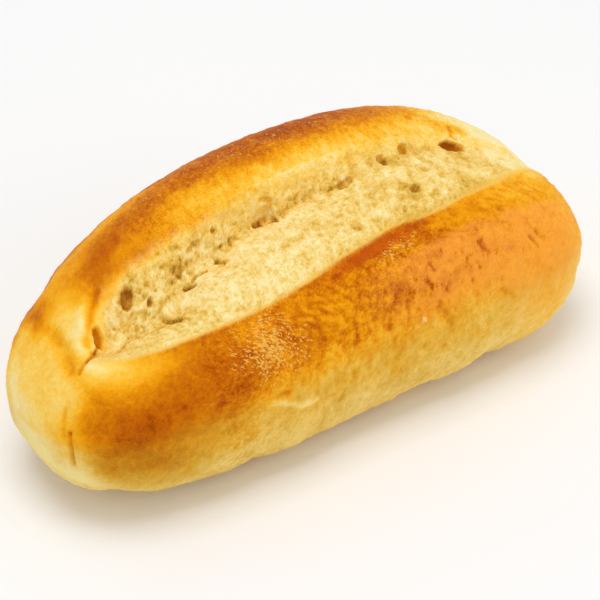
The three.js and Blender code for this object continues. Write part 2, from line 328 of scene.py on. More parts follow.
# The large relief, as on the solid; a depth below 0 is a ridge
relief = {
    "crustLumps": {"height": 0.3, "size": 17},
    "wallLumps": {"height": 0.9, "size": 5},
    "slabLumps": {"height": 0.35, "size": 8},
    "baseLumps": {"height": 0.9, "size": 9, "middle": 0.75, "spread": 0.4},
    "tipFade": 0.04,
    "baseFade": 4.0,
    "folds": (        # path, depth, half width and how much darker
        # The last column is painted shade in the crease; below 0 it is a painted highlight on the ridge
        (((-0.846, 3.82), (-0.85, 3.49), (-0.865, 1.98)), 1.0, 1.6, 0.22),
        (((-0.924, 1.656), (-0.942, 1.489), (-0.951, 1.288)), 0.45, 0.45, 0.16),
        (((-0.937, 1.34), (-0.944, 1.06), (-0.944, 0.93)), 1.1, 0.5, 0.26),
        (((-0.85, 1.937), (-0.833, 1.983), (-0.813, 2.133), (-0.796, 2.25), (-0.77, 2.95)), 1.0, 0.38, 0.25),
        (((-0.68, 3.87), (-0.726, 3.68), (-0.776, 3.37), (-0.79, 3.21)), 0.7, 0.9, 0.3),
        (((-0.725, 3.91), (-0.758, 3.71), (-0.78, 3.45)), -0.5, 0.9, -0.1),
        (((-0.345, 1.06), (-0.3, 1.0), (-0.25, 0.99), (-0.18, 0.985)), -0.45, 0.7, -0.25),
        (((0.691, 4.07), (0.661, 3.91)), 0.5, 0.5, 0.2),
        (((0.608, 4.09), (0.67, 4.1), (0.73, 4.06)), -0.4, 0.7, 0.0),
    ),
    "swellings": (        # u, v, radius and height
        (-0.795, 2.03, 3.4, 1.3), (-0.78, 3.6, 5.0, 0.8), (-0.088, 3.1, 2.0, -1.3), (0.484, 1.54, 2.2, -0.5),
        (0.7, 1.41, 2.4, -0.6), (0.283, 1.55, 1.8, -0.4), (-0.688, 0.8, 3.0, -0.8), (-0.389, 0.65, 3.2, -0.8),
        (0.053, 0.73, 3.0, -0.7), (0.336, 0.99, 5.0, 0.6), (0.92, 3.6, 4.5, -1.9), (0.52, 0.63, 4.5, -1.3),
        (0.36, 0.62, 3.0, -0.7), (0.24, 0.6, 3.5, -1.0), (-0.19, 0.62, 3.5, -0.6), (-0.8, 0.55, 3.5, -0.8),
        (-0.765, 4.59, 4.0, -1.0),
    ),
}
height = lumpLayer(relief["crustLumps"])
foldShadeAndHighlight = 0
# Folds darken the crust in their creases as painted shade, and lighten their ridges as a painted highlight where
# the last column is below 0
for path, depth, halfWidth, darker in relief["folds"]:
    away = distanceToPath(path)
    height = height - depth * bell(away, halfWidth)
    foldShadeAndHighlight = foldShadeAndHighlight + darker * bell(away, 1.1 * halfWidth)
for u, v, radius, rise in relief["swellings"]:
    height = height + rise * bell(distanceTo(u, v), radius)
inCrumb = (flatV > 2) & (flatV < 4)
inside = np.abs(np.sin(math.pi * flatV)) * cutOpenness(flatU, 0.5) * inCrumb
height = height + inside * np.where(flatV <= 3, lumpLayer(relief["slabLumps"]), lumpLayer(relief["wallLumps"]))
base = relief["baseLumps"]
lowBand = bell(fromBase - base["middle"], base["spread"]) * ease(0, base["size"] / 3, skin[..., 2])
height = height + lowBand * lumpLayer(base)
print("large relief done")

# The rough crumb in millimetres; pairs are its left and its right part, or where one turns into the other
crumbRelief = {
    "lipSoftness": 2.2,
    "rimReach": (4.0, 1.5),
    "rimStart": -0.5,
    "tearSoftness": (0.8, 4.5),
    "rightPart": (0.05, 0.35),
    "wallLumps": {"size": 3.2, "height": 0.3},
    "wallPits": {"size": 2.3, "widest": 0.62, "depth": 0.5},
    "smallPits": {"size": 1.15, "widest": 0.6, "depth": 0.26},
    "slabLumps": {"size": 2.2, "height": 0.12},
    "slabPits": {"size": 1.5, "widest": 0.5, "depth": 0.14},
    "rightLumps": {"size": 4.6, "height": 0.5},
    "rightPits": {"size": 3.6, "widest": 0.62, "depth": 0.65},
    "rightSlabPits": 0.5,
    "rightWall": 0.6,
    "fineGrain": {"size": 0.9, "height": 0.09},
    "calm": {"u": -0.7, "alongU": 0.16, "pastLip": 1.5, "reach": 4.0, "less": 0.65},
    "shadeOfPits": {"slab": 0.5, "small": 0.8, "right": 0.5},
    "lipShifts": (        # u, shift of the lip and reach along the bun
        (-0.65, -0.7, 0.14), (0.04, 1.0, 0.2), (0.22, 0.5, 0.07), (0.43, -1.3, 0.12), (0.62, -0.8, 0.1),
        (0.83, 1.5, 0.08),
    ),
    "poreEdge": {"reach": 1.4, "ragged": 0.3, "full": 0.75},
    "slitEdge": {"tattered": 0.25, "ragged": 0.6, "uneven": 0.4, "full": (0.1, 0.9)},
}

# Open pores, the soft pits beside them and dents of the crust:
# u, v, half length, half width, depth, degrees from the bun's length and darkness
# The darkness column is painted shade inside each hollow
pores = (
    (-0.611, 3.641, 3.05, 1.65, 2.2, 57, 0.75), (-0.745, 3.32, 2.75, 1.35, 1.9, -85, 0.75),
    (0.642, 3.43, 3.75, 1.55, 2.1, -11, 0.95), (0.448, 3.547, 1.63, 1.24, 1.2, 54, 0.5),
    (0.356, 3.307, 1.68, 1.12, 1.1, -63, 0.48), (0.206, 3.011, 2.78, 1.04, 0.9, 11, 0.4),
    (0.38, 2.268, 1.7, 1.4, 1.0, 28, 0.5), (0.123, 2.197, 1.4, 0.88, 0.7, -31, 0.35),
    (0.241, 2.454, 1.71, 0.96, 0.7, 56, 0.25), (-0.555, 3.481, 1.36, 0.69, 0.8, 58, 0.5),
    (-0.364, 3.619, 0.8, 0.5, 0.6, -34, 0.5), (-0.273, 3.652, 0.8, 0.5, 0.6, -34, 0.5),
    (-0.059, 3.589, 2.0, 0.97, 0.6, -10, 0.35), (-0.285, 2.85, 1.6, 0.8, 0.9, -10, 0.45),
    (-0.426, 3.508, 1.7, 1.3, 0.8, -32, 0.5), (0.573, 4.13, 1.77, 1.2, 0.7, 67, 0.3),
    (0.484, 1.537, 1.7, 0.6, 0.5, -76, 0.5), (0.675, 1.43, 1.9, 0.35, 0.45, -47, 0.45),
    (0.7, 1.46, 1.6, 0.35, 0.45, -47, 0.4), (0.279, 1.585, 0.65, 0.42, 0.4, -59, 0.3),
)

# Ragged slits where the crumb tore apart: path over the skin, depth, half width and darkness
# The darkness column is painted shade inside each slit
slits = (
    (((-0.427, 3.2), (-0.415, 3.02), (-0.402, 2.86)), 1.7, 0.42, 1.2),
    (((-0.459, 3.45), (-0.437, 3.44), (-0.413, 3.32)), 0.7, 0.55, 0.5),
    (((-0.395, 3.06), (-0.375, 3.12), (-0.338, 2.99)), 0.6, 0.35, 0.5),
    (((-0.298, 3.14), (-0.267, 2.88)), 1.0, 0.5, 0.7),
    (((-0.216, 3.2), (-0.222, 3.1), (-0.232, 2.97)), 0.8, 0.3, 0.8),
    (((-0.19, 3.1), (-0.174, 3.06), (-0.156, 2.93)), 0.4, 0.25, 0.3),
    (((-0.122, 3.12), (-0.1, 3.09)), 0.9, 0.3, 1.2),
    (((-0.1, 3.14), (-0.075, 3.18), (-0.055, 3.1)), 0.6, 0.34, 0.8),
    (((-0.03, 3.2), (0.003, 3.27)), 0.6, 0.6, 0.4),
    (((-0.54, 3.15), (-0.534, 2.85), (-0.51, 2.53)), 0.7, 0.75, 0.8),
    (((-0.515, 2.6), (-0.485, 2.36)), 0.3, 0.6, 0.5),
    (((-0.812, 2.15), (-0.79, 2.6), (-0.77, 3.0), (-0.755, 3.2)), 0.4, 0.45, 0.6),
    (((0.14, 3.1), (0.18, 3.15), (0.225, 3.12)), 0.6, 0.6, 0.45), (((0.03, 3.2), (0.08, 3.25)), 0.4, 0.6, 0.3),
    (((0.66, 3.98), (0.663, 3.8)), 0.4, 0.6, 0.35), (((-0.712, 2.63), (-0.665, 2.3)), 0.3, 0.35, 0.2),
)
for u, shift, reach in crumbRelief["lipShifts"]:
    pastLip = pastLip - shift * bell(flatU - u, reach)
rightSide = ease(*crumbRelief["rightPart"], flatU)
tearSoftness = mix(*crumbRelief["tearSoftness"], rightSide)
wallSide = ease(-tearSoftness, tearSoftness, fromTear)
crumbEdge = ease(0, crumbRelief["lipSoftness"], pastLip) * openness
crumbEdge = crumbEdge * ease(crumbRelief["rimStart"], mix(*crumbRelief["rimReach"], rightSide), beforeRim)


def pitLayer(name, shift, stretch=(1, 1, 1)):
    layer = crumbRelief[name]
    holes = cells(layer["size"], layer["widest"], shift, stretch)
    return holes, layer["depth"] * holes


wallPits, wallDepth = pitLayer("wallPits", 4.1, (1, 1.2, 1.3))
smallPits, smallDepth = pitLayer("smallPits", 9.3)
slabPits, slabDepth = pitLayer("slabPits", 2.9)
rightPits, rightDepth = pitLayer("rightPits", 7.1, (0.9, 1.2, 1.2))
wallRelief = grainLayer(crumbRelief["wallLumps"], 3, 7.7) - wallDepth - smallDepth
slabRelief = grainLayer(crumbRelief["slabLumps"], 3, 3.7) - slabDepth
rightRelief = grainLayer(crumbRelief["rightLumps"], 3, 5.2) - rightDepth - crumbRelief["rightSlabPits"] * slabDepth
rightWallRelief = crumbRelief["rightWall"] * (wallRelief + rightRelief)
rough = mix(mix(slabRelief, wallRelief, wallSide), mix(rightRelief, rightWallRelief, wallSide), rightSide)
rough = rough + grainLayer(crumbRelief["fineGrain"], 2, 1.3)
quiet = crumbRelief["calm"]
calm = bell(flatU - quiet["u"], quiet["alongU"]) * bell(pastLip - quiet["pastLip"], quiet["reach"])
calm = 1 - quiet["less"] * calm
height = height + crumbEdge * calm * rough
# Painted shade in the crumb's pits, 0 to 1, for darkening its tone
shade = crumbRelief["shadeOfPits"]
pitShade = mix(shade["slab"] * slabPits, np.maximum(wallPits, shade["small"] * smallPits), wallSide)
pitShade = mix(pitShade, np.maximum(rightPits, shade["right"] * pitShade), rightSide) * crumbEdge
print("crumb relief done")

ragged = grain(1.3, 2, 12.3)
tattered = grain(0.9, 2, 17.6)
# Painted shade inside pores and slits, 0 to 1
paintedPoreShade = np.zeros(skin.shape[:2])
paintedSlitShade = np.zeros(skin.shape[:2])


def digPore(u, v, halfLength, halfWidth, depth, degrees, dark):
    edge = crumbRelief["poreEdge"]
    reach = edge["reach"] * halfLength / (loaf["length"] / 2)
    rings = np.where(np.abs(ringU[:, 0] - u) < reach)[0]
    rows = slice(rings[0], rings[-1] + 1)
    alongAxis, acrossAxis, outward = skinAxes(u, v)
    offset = skin[rows] - smoothSkin(u, v)
    turn = math.radians(degrees)
    along, across = offset @ alongAxis, offset @ acrossAxis
    far = (along * math.cos(turn) + across * math.sin(turn)) / halfLength
    wide = (across * math.cos(turn) - along * math.sin(turn)) / halfWidth
    near = np.abs(offset @ outward) < 2 * halfLength
    bowl = np.sqrt(np.clip(1 - far ** 2 - wide ** 2 + edge["ragged"] * ragged[rows], 0, 1)) * near
    height[rows] -= depth * bowl
    paintedPoreShade[rows] = np.maximum(paintedPoreShade[rows], ease(0, edge["full"], bowl) * dark)


for pore in pores:
    digPore(*pore)
slitEdge = crumbRelief["slitEdge"]
unevenDepth = 1 + slitEdge["uneven"] * grain(2.0, 1, 4.9)
for path, depth, halfWidth, dark in slits:
    away = distanceToPath(path) + slitEdge["tattered"] * tattered
    groove = bell(away, halfWidth * (1 + slitEdge["ragged"] * ragged)) * unevenDepth
    height = height - depth * groove
    paintedSlitShade = np.maximum(paintedSlitShade, dark * ease(*slitEdge["full"], groove))
paintedTearShade = np.maximum(paintedPoreShade, paintedSlitShade)
print("pores and slits cut")

# The browned crust: dimples, orange peel, and wrinkles and strokes drawn out along the lip.
# A layer that lies at one place has it as u, v, reach along and reach across
crustRelief = {
    "dimples": {"size": 5.0, "height": 0.26},
    "peel": {"size": 1.7, "height": 0.13},
    "pits": {"size": 2.1, "widest": 0.44, "depth": 0.2, "least": 0.25, "place": (0.3, 1.4, 0.42, 0.4)},
    "streaks": {"size": 1.5, "height": 0.34, "place": (0.05, 1.2, 0.36, 0.3)},
    "wrinkles": {"size": 1.1, "height": 0.22, "stretch": (8, 1, 1), "start": (0.28, 0.5), "v": 1.84, "reach": 0.18},
    "strokes": {"size": 0.8, "height": 0.18, "stretch": (3, 1, 3), "place": (-0.14, 1.66, 0.28, 0.3)},
    "lipTurn": -33,
    "crestGrain": {"size": 0.9, "height": 0.1, "v": 4.25, "reach": 0.2},
    "lowGrain": {"size": 3.0, "height": 0.22, "below": (1.2, 0.9)},
    "valleyDepth": 0.3,
    "markRagged": 0.3,
    "marks": (        # path, depth with a ridge below 0, half width and how much darker
        # The last column is painted shade in the dent, and below 0 a painted highlight on the ridge
        (((0.474, 1.57), (0.485, 1.49), (0.497, 1.45)), 0.39, 0.55, 0.1),
        (((0.659, 1.455), (0.691, 1.347)), 0.29, 0.36, 0.09),
        (((0.705, 1.465), (0.723, 1.383)), 0.26, 0.32, 0.07), (((0.281, 1.57), (0.287, 1.51)), 0.29, 0.34, 0.15),
        (((0.199, 1.82), (0.21, 1.75)), 0.23, 0.34, 0.12), (((0.439, 1.43), (0.445, 1.38)), 0.2, 0.34, 0.1),
        (((0.242, 1.48), (0.262, 1.42)), 0.23, 0.42, 0.12), (((0.521, 1.14), (0.565, 1.05)), 0.33, 0.68, 0.1),
        (((0.15, 1.5), (0.107, 1.37), (0.09, 1.23)), 0.29, 0.59, 0.09),
        (((0.182, 1.46), (0.163, 1.34), (0.163, 1.17)), 0.26, 0.51, 0.09),
        (((0.279, 1.25), (0.301, 1.13), (0.324, 1.0)), 0.33, 0.68, 0.1),
        (((0.533, 1.82), (0.603, 1.74), (0.615, 1.69)), 0.2, 0.26, 0.06),
        (((0.502, 1.69), (0.538, 1.69), (0.605, 1.62)), 0.2, 0.26, 0.06),
        (((0.364, 1.81), (0.422, 1.71), (0.49, 1.65)), 0.23, 0.3, 0.07),
        (((0.349, 1.75), (0.412, 1.67), (0.48, 1.63)), 0.2, 0.26, 0.06),
        (((0.691, 1.93), (0.752, 1.78), (0.812, 1.55)), 0.16, 0.26, 0.04),
        (((-0.32, 1.1), (-0.29, 1.07)), 0.26, 0.68, 0.12),
        (((-0.191, 1.0), (-0.172, 0.98), (-0.114, 0.96)), 0.26, 0.42, 0.07),
        (((-0.072, 0.965), (-0.093, 0.916)), 0.29, 0.42, 0.12),
        (((-0.06, 0.93), (0.007, 0.894)), -0.23, 0.51, -0.05),
    ),
}
pits, streaks, wrinkles = crustRelief["pits"], crustRelief["streaks"], crustRelief["wrinkles"]
strokes, crest, low = crustRelief["strokes"], crustRelief["crestGrain"], crustRelief["lowGrain"]
crustPits = mix(pits["least"], 1, spot(*pits["place"])) * cells(pits["size"], pits["widest"], 6.3, (0.8, 1.0, 1.5))
wrinkled = ease(*wrinkles["start"], flatU) * bell(flatV - wrinkles["v"], wrinkles["reach"])
wrinkleGrain = wrinkled * grain(wrinkles["size"], 2, 3.3, wrinkles["stretch"], crustRelief["lipTurn"])
streakGrain = spot(*streaks["place"]) * grain(streaks["size"], 2, 2.7, (1, 1.5, 2.6))
stroked = spot(*strokes["place"])
strokeGrain = stroked * grain(strokes["size"], 2, 21.3, strokes["stretch"], crustRelief["lipTurn"])
crust = grainLayer(crustRelief["dimples"], 2, 9.1) + grainLayer(crustRelief["peel"], 2, 5.5)
crust = crust - pits["depth"] * crustPits + wrinkles["height"] * wrinkleGrain
crust = crust + streaks["height"] * streakGrain + strokes["height"] * strokeGrain
crust = crust + bell(flatV - crest["v"], crest["reach"]) * grainLayer(crest, 2, 8.1)
crust = crust + ease(*low["below"], fromBase) * grainLayer(low, 3, 16.4)
markShadeAndHighlight = 0
# Marks darken the crust in their dents as painted shade
for path, depth, halfWidth, darker in crustRelief["marks"]:
    away = distanceToPath(path) * (1 + crustRelief["markRagged"] * ragged)
    crust = crust - depth * bell(away, halfWidth)
    markShadeAndHighlight = markShadeAndHighlight + darker * bell(away, 1.2 * halfWidth)
# How deep each place lies in a dent of the crust, for painted shade there
dentShade = np.clip(-crust / crustRelief["valleyDepth"], 0, 1) * (1 - crumbEdge)
height = height + (1 - crumbEdge) * crust * ease(0, relief["baseFade"], skin[..., 2])
height = height * ease(0, relief["tipFade"], 1 - np.abs(flatU)) * (skin[..., 2] > 0)
points = skin + normals * height[..., None]
points[..., 2] = np.maximum(points[..., 2], 0)
print("crust relief done")

# Browning of the crust, 0 pale to 1 dark: round the section, at its darker and paler places, and by its relief,
# where the darkening in creases, dents, pits, pores and tears is painted shade and the lightening on raised folds
# and marks is a painted highlight
browning = {
    "round": (        # v and its browning
        (0.5, 0.26), (0.75, 0.3), (0.9, 0.33), (0.97, 0.39), (1.05, 0.45), (1.2, 0.56), (1.4, 0.67), (1.6, 0.7),
        (1.8, 0.72), (2.0, 0.72), (3.6, 0.2), (3.9, 0.3), (4.05, 0.42), (4.15, 0.72), (4.25, 0.86), (4.5, 0.86),
        (4.7, 0.7), (4.85, 0.55), (5.0, 0.42), (5.2, 0.3), (5.5, 0.3),
    ),
    "pastCut": {"bake": 0.36, "soft": 0.3},
    "leftFace": {"bake": 0.25, "start": (-0.84, -0.9), "v": 2.95, "round": (1.6, 1.3)},
    "leftRim": {"u": ((-0.965, -0.915), (3.8, 4.3)), "soft": 0.03, "pale": 0.13},
    "torn": 0.5,
    "pits": 0.14,
    "wrinkles": 0.16,
    "streaks": -0.16,
    "strokes": -0.26,
    "valleys": 0.12,
    "clouds": {"size": 9.0, "height": 0.07},
    "blotches": {"size": 2.5, "height": 0.1},
    "specks": {"size": 1.0, "height": 0.15},
    "underside": {"bake": 0.72, "facing": (-0.55, -0.9), "low": (2.5, 0.5)},
    "undersideClouds": {"size": 6.0, "height": 0.1},
    "places": (        # u, v, reach along, reach across and how much darker
        (-0.74, 1.12, 0.19, 0.33, 0.36), (-0.44, 1.3, 0.06, 0.14, 0.13), (-0.05, 1.17, 0.33, 0.11, -0.07),
        (-0.1, 1.5, 0.3, 0.4, 0.07), (-0.5, 1.6, 0.11, 0.35, 0.16), (-0.78, 1.93, 0.14, 0.22, -0.42),
        (-1.0, 1.5, 0.09, 0.9, -0.4), (0.14, 1.97, 0.14, 0.07, 0.3), (0.28, 1.92, 0.07, 0.07, 0.06),
        (-0.68, 3.93, 0.06, 0.14, 0.25), (-0.812, 2.8, 0.016, 0.7, -0.25), (0.1, 3.92, 0.22, 0.12, -0.2),
        # The place at (-0.8, 1.97) is a painted highlight on the rounded end of the lip
        (-0.8, 1.97, 0.05, 0.1, -0.2), (0.75, 1.7, 0.3, 0.5, -0.17), (0.98, 1.4, 0.14, 0.9, -0.2),
        (-0.35, 1.8, 0.05, 0.15, -0.12), (-0.6, 4.05, 0.16, 0.14, 0.34), (-0.85, 4.25, 0.03, 0.15, 0.06),
        (-0.75, 4.25, 0.08, 0.2, -0.3), (-1.0, 4.5, 0.1, 0.4, -0.5), (-0.3, 4.15, 0.1, 0.06, -0.1),
        (0.2, 4.3, 0.2, 0.1, 0.08), (0.82, 4.25, 0.22, 0.35, -0.8), (0.69, 4.05, 0.07, 0.05, 0.45),
        (-0.45, 4.0, 0.12, 0.1, 0.14), (-0.66, 1.82, 0.1, 0.12, -0.12), (-0.68, 0.98, 0.14, 0.07, 0.04),
        (0.45, 0.85, 0.25, 0.2, -0.02), (-0.5, 1.2, 0.06, 0.14, 0.07), (-0.785, 3.5, 0.04, 0.4, -0.25),
        (0.7, 1.93, 0.25, 0.12, -0.08), (-0.52, 4.39, 0.27, 0.1, -0.34), (0.14, 4.22, 0.14, 0.07, 0.13),
        (-0.03, 1.7, 0.05, 0.1, -0.2), (0.04, 1.4, 0.05, 0.1, -0.15), (-0.86, 1.01, 0.04, 0.1, 0.16),
        (-0.69, 0.76, 0.1, 0.1, 0.04), (-0.93, 0.79, 0.06, 0.12, -0.3), (-0.87, 4.05, 0.03, 0.1, 0.18),
        (-0.4, 3.9, 0.26, 0.07, 0.18), (-0.67, 3.78, 0.05, 0.08, 0.1), (-0.66, 4.23, 0.05, 0.06, -0.14),
        (-0.69, 3.98, 0.05, 0.07, -0.12), (-0.17, 3.86, 0.07, 0.07, 0.12), (-0.04, 4.13, 0.08, 0.06, 0.12),
        (-0.39, 1.58, 0.05, 0.12, 0.12), (0.12, 0.99, 0.06, 0.1, 0.12), (0.86, 2.0, 0.05, 0.06, -0.3),
        (-0.04, 1.54, 0.04, 0.08, -0.12), (-0.2, 1.55, 0.04, 0.08, 0.1), (-0.55, 4.06, 0.05, 0.06, -0.12),
        (-0.47, 1.07, 0.05, 0.1, 0.1),
    ),
    "facePlaces": (
        (-0.88, 4.08, 0.03, 0.12, 0.2), (-0.93, 0.97, 0.02, 0.12, -0.12), (-0.85, 3.42, 0.02, 0.2, -0.16),
        (-0.885, 1.56, 0.025, 0.14, 0.14),
    ),
}

# How strongly the crust is mottled
mottle = {
    "leftEnd": ((0.45, 1), (-0.6, -0.4)),
    "lowSide": {"share": 0.5, "start": (-0.5, -0.3), "below": (1.3, 1.0)},
    "wrinkles": 0.4,
    "strokes": 0.5,
    "roughMore": 0.45,
    "roughPlace": (0.08, 1.65, 0.22, 0.3),
}

# Other colours on the crust: the tan foot, which is painted shade low on the sides; the orange right side, partly
# the crust's own colour and partly painted sheen; the red lip; and pale flecks over the sugar, partly its own
# colour and partly painted glints
tints = {
    "foot": {"below": (1.25, 0.8), "ragged": 0.06, "share": ((1, 0.35), (0.5, 0.75))},
    "blush": {
        "start": (-0.05, 0.35), "end": (1.0, 0.85), "top": 1.78, "slope": -0.1, "ragged": 0.04,
        "soft": (0.04, -0.06), "foot": ((1.0, 0.8), (0.4, 0.65)), "footFull": ((1.35, 1.1), (0.4, 0.65)),
        "valleys": 0.5, "marks": 2.5,
    },
    "redness": {"u": 0.12, "alongU": 0.17, "v": 1.96, "acrossV": 0.07, "slope": 0.15, "slopeFrom": 0.15},
    "sugar": {"u": -0.315, "alongU": 0.085, "ragged": 0.04, "v": 1.62, "acrossV": 0.3},
    "lipSugar": {"share": 0.6, "place": (0.2, 1.86, 0.08, 0.07)},
    "crestSugar": {"share": 0.2, "uneven": 0.5, "place": (0.05, 4.22, 0.5, 0.12)},
}
under = ease(*browning["underside"]["facing"], normals[..., 2]) * ease(*browning["underside"]["low"], skin[..., 2])


def bakeAt(places):
    return sum(darker * spot(*place) for *place, darker in places)


def mottledShare():
    side = mottle["lowSide"]
    onSide = ease(*side["start"], flatU) * ease(*side["below"], fromBase)
    share = slide(*mottle["leftEnd"], flatU) * mix(1, side["share"], onSide)
    share = share * (1 - mottle["wrinkles"] * wrinkled) * (1 - mottle["strokes"] * stroked)
    return share * (1 + mottle["roughMore"] * spot(*mottle["roughPlace"]))


def crustBake(mottling):
    past, face, rim = browning["pastCut"], browning["leftFace"], browning["leftRim"]
    bake = np.interp(flatV, *zip(*browning["round"]))
    closed = (1 - openness) * ease(0, past["soft"], 1 - np.abs(flatV - 3))
    bake = np.where(inCrumb, mix(bake, past["bake"], closed), bake) + bakeAt(browning["places"])
    onFace = ease(*face["start"], flatU) * ease(*face["round"], np.abs(flatV - face["v"]))
    # Fold and mark darkening is painted shade in creases and dents, and their lightening a painted highlight on
    # ridges
    bake = mix(bake, face["bake"], onFace) + bakeAt(browning["facePlaces"]) + foldShadeAndHighlight + markShadeAndHighlight
    bake = bake - rim["pale"] * ease(0, -rim["soft"], flatU - slide(*rim["u"], flatV))
    # Darkening at tears, pores and crust pits is painted shade
    bake = bake + browning["torn"] * paintedTearShade + browning["pits"] * crustPits + browning["wrinkles"] * wrinkleGrain
    bake = bake + browning["streaks"] * streakGrain + browning["strokes"] * strokeGrain
    spotted = grainLayer(browning["blotches"], 2, 4.4) + grainLayer(browning["specks"], 2, 6.4)
    # The mottling also darkens the crust's dents: painted shade
    bake = bake + grainLayer(browning["clouds"], 2, 2.2) + mottling * (spotted + browning["valleys"] * dentShade)
    return mix(bake, browning["underside"]["bake"] + grainLayer(browning["undersideClouds"], 3, 1.2), under)


# Share of the olive foot colours low on the sides: painted shade where the bun curves under towards the floor
def paintedFootShade():
    foot = tints["foot"]
    share = ease(*foot["below"], fromBase + foot["ragged"] * grain(4.0, 3, 15.1))
    return share * slide(*foot["share"], flatU) * (1 - under)


# The orange-pink of the right side, partly the crust's own colour and partly painted sheen, kept out of dents and
# pits
def blushAndSheenShare():
    blush = tints["blush"]
    above, below = blush["soft"]
    top = blush["top"] + blush["slope"] * flatU + blush["ragged"] * grain(6.0, 2, 3.6)
    share = ease(*blush["start"], flatU) * ease(*blush["end"], flatU) * ease(top + above, top + below, flatV)
    share = share * ease(slide(*blush["foot"], flatU), slide(*blush["footFull"], flatU), flatV)
    return share * np.clip(1 - blush["valleys"] * dentShade - blush["marks"] * markShadeAndHighlight - crustPits, 0, 1)


def rednessShare():
    red = tints["redness"]
    fromLine = flatV - red["v"] + red["slope"] * np.clip(flatU - red["slopeFrom"], 0, 1)
    return bell(flatU - red["u"], red["alongU"]) * bell(fromLine, red["acrossV"])


# Where pale flecks lie over the sugar; they are partly the sugar's own colour and partly painted glints
def sugarAndGlintsShare():
    main, lip, crest = tints["sugar"], tints["lipSugar"], tints["crestSugar"]
    reach = main["alongU"] + main["ragged"] * grain(6.0, 2, 1.9)
    onRoll = bell(flatU - main["u"], reach) * bell(flatV - main["v"], main["acrossV"])
    onCrest = crest["share"] * spot(*crest["place"]) * (1 + crest["uneven"] * grain(4.0, 2, 23.1))
    return np.maximum(np.maximum(onRoll, lip["share"] * spot(*lip["place"])), onCrest)


# Where crumb shows, and how pale (0) or tan (1) it is
crumbTint = {
    "lip": {"ragged": 0.22, "soft": ((0.5, 1.1), (0.5, 0.75))},
    "fringe": {"pastLip": 0.1, "width": 0.75},
    "rim": {"reach": (-1.5, 5.5), "ragged": 1.3, "power": ((1, 1.7), (3.2, 3.6))},
    "ends": {"open": (0.25, 0.75), "ragged": 0.2, "rightShift": 0.06},
    "crustTongue": {
        "path": ((-0.74, 3.2), (-0.73, 3.5), (-0.7, 3.7), (-0.64, 3.84), (-0.6, 3.96)), "width": 1.9, "share": 0.85,
    },
    "slab": ((0.51, 0.2), (-0.6, -0.42)),
    "rightSlab": ((0, 0.15), (-0.1, 0.3)),
    "wall": ((0.34, 0.45), (-0.1, 0.25)),
    "rightEnd": {"tone": 0.02, "start": (0.6, 0.78)},
    "alongLip": {"more": ((-0.12, 0.14), (-0.54, -0.42)), "reach": 2.0},
    "blotches": {"size": 2.2, "heights": (0.2, 0.28)},        # slab and wall
    "specks": {"size": 0.9, "heights": (0.28, 0.2)},          # left and right, as the next
    "clouds": {"size": 5.0, "heights": (0.16, 0.26)},
    "threads": {"size": 1.2, "height": 0.06},
    "calmRight": ((1, 0.6), (0.45, 0.65)),
    # Pits, pores and slits darken the crumb's tone: painted shade
    "pits": {"leftAndRight": (0.45, 0.3), "power": 1.5},
    "torn": 0.7,
    "slitsPaler": 0.35,
    "places": (        # u, v, radius in millimetres and how much darker
        (0.36, 2.25, 3.0, 0.22), (0.1, 2.3, 3.5, 0.12), (0.01, 2.45, 2.2, 0.14), (-0.1, 2.35, 2.5, 0.1),
        # The places at (0.17, 3.25) and (0.03, 3.3) are painted shade on the tear's wall
        (0.6, 2.3, 4.0, 0.12), (0.7, 2.4, 3.0, 0.2), (0.17, 3.25, 3.5, 0.2), (0.03, 3.3, 2.5, 0.12),
        (0.75, 3.8, 2.0, 0.15), (0.2, 3.63, 3.2, -0.4), (-0.17, 3.8, 3.0, 0.2), (-0.49, 3.85, 3.0, 0.16),
        (0.11, 2.2, 2.0, 0.14), (0.3, 2.84, 2.2, 0.16), (-0.39, 2.14, 2.4, 0.16), (-0.5, 2.56, 2.4, 0.3),
        (0.42, 2.14, 2.4, -0.28), (0.73, 2.15, 2.6, 0.26), (-0.54, 3.45, 2.2, -0.25), (0.63, 2.88, 2.8, 0.36),
        (-0.62, 2.4, 2.8, -0.22), (0.18, 2.8, 2.4, -0.28), (0.03, 2.22, 2.4, 0.25), (0.24, 2.16, 2.4, -0.22),
        (0.42, 2.84, 2.8, 0.22), (-0.57, 2.08, 2.8, -0.2), (0.59, 3.61, 2.4, -0.22), (-0.7, 2.26, 2.8, -0.18),
        (-0.07, 2.14, 2.4, 0.16), (0.76, 2.2, 2.4, 0.18), (-0.45, 2.37, 2.2, 0.2), (0.55, 2.1, 2.0, 0.2),
        (0.38, 3.49, 2.0, -0.18), (-0.07, 3.51, 2.0, -0.18),
    ),
}
lipSoft = slide(*crumbTint["lip"]["soft"], flatU)


def crumbShare():
    rim, ends, tongue = crumbTint["rim"], crumbTint["ends"], crumbTint["crustTongue"]
    lipSide = ease(-1, 1, (pastLip + crumbTint["lip"]["ragged"] * grain(1.4, 2, 6.6)) / lipSoft)
    rimSide = ease(*rim["reach"], beforeRim + rim["ragged"] * grain(3.0, 3, 8.8))
    opened = np.where(flatU < 0, openness, cutOpenness(flatU - ends["rightShift"], 0.5))
    share = lipSide * rimSide * ease(*ends["open"], opened + ends["ragged"] * grain(3.0, 2, 5.8))
    share = share ** slide(*rim["power"], flatV)
    return share * (1 - tongue["share"] * bell(distanceToPath(tongue["path"]), tongue["width"]))


